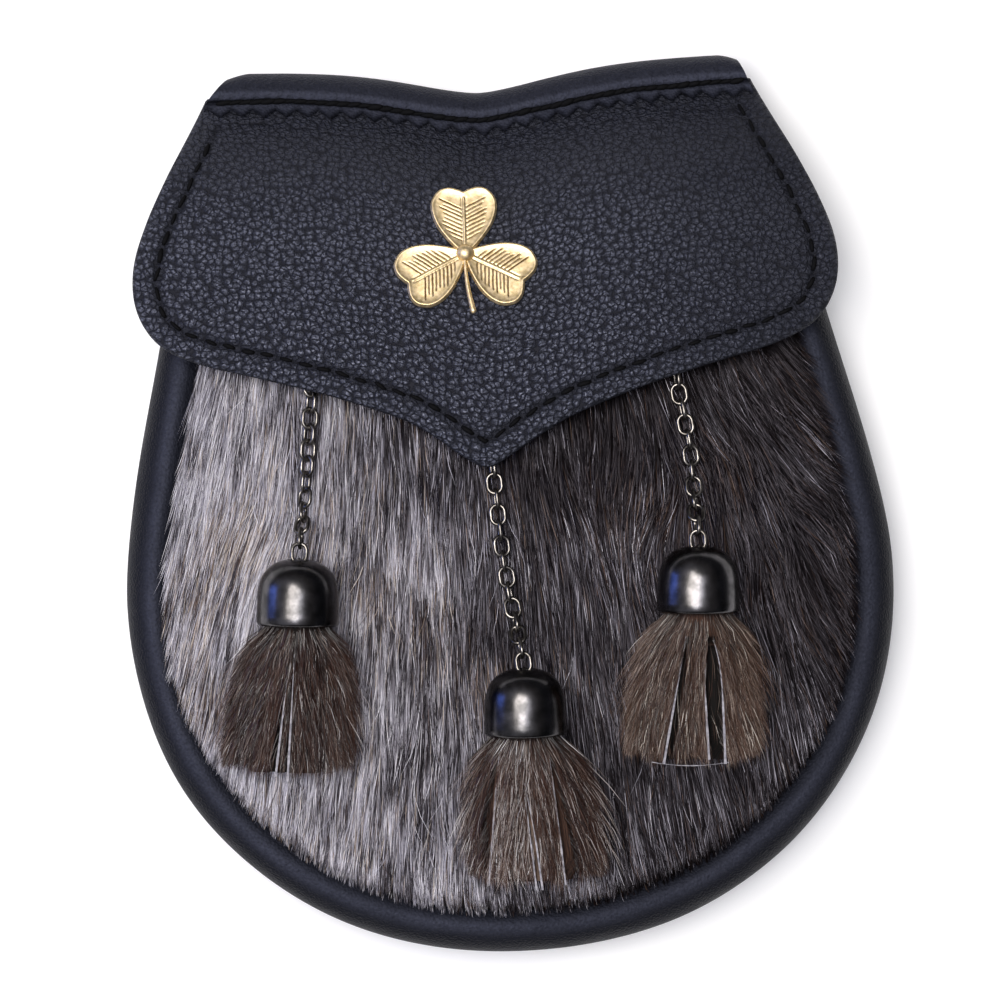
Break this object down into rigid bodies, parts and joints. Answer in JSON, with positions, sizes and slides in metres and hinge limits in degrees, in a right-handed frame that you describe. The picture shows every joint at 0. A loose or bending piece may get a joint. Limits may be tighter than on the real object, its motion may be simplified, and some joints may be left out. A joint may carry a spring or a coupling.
{
  "type": "sporran pouch",
  "caption": "Day sporran: hollow leather pouch with a fur front, a pebbled leather flap with a shamrock badge, and fur tassels hung from bell caps on short chains.",
  "frame": {"origin": "under the middle of the pouch as it lies on its back", "axes": "+X to the right of the front, +Y from the bottom of the pouch to its folded top, +Z out of its front, which faces up"},
  "size_m": [0.1794, 0.2102, 0.0487],
  "materials": {
    "smooth_leather": "smooth near-black leather, satin",
    "pebbled_leather": "pebbled near-black leather",
    "grey_fur": "grey and dark brown fur on the hide",
    "brown_fur": "brown fur on the hide, cut in strips",
    "gilt_brass": "gilt, satin with polished rims",
    "gunmetal": "polished black nickel",
    "chain_steel": "polished nickel plate"
  },
  "bodies": {
    "root": {"back_panel": "smooth_leather", "gusset": "smooth_leather", "front_panel": "grey_fur", "flap": "pebbled_leather", "hinge_strip": "smooth_leather", "shamrock_badge": "gilt_brass", "chain_left": "chain_steel", "chain_centre": "chain_steel", "chain_right": "chain_steel", "chain_staple_left": "chain_steel", "chain_staple_centre": "chain_steel", "chain_staple_right": "chain_steel", "bell_left": "gunmetal", "bell_centre": "gunmetal", "bell_right": "gunmetal", "tassel_pin_left": "chain_steel", "tassel_pin_centre": "chain_steel", "tassel_pin_right": "chain_steel", "tassel_left": "brown_fur", "tassel_centre": "brown_fur", "tassel_right": "brown_fur", "flap_stud": "chain_steel", "strap_loop_left": "smooth_leather", "strap_loop_right": "smooth_leather"}
  },
  "joints": []
}
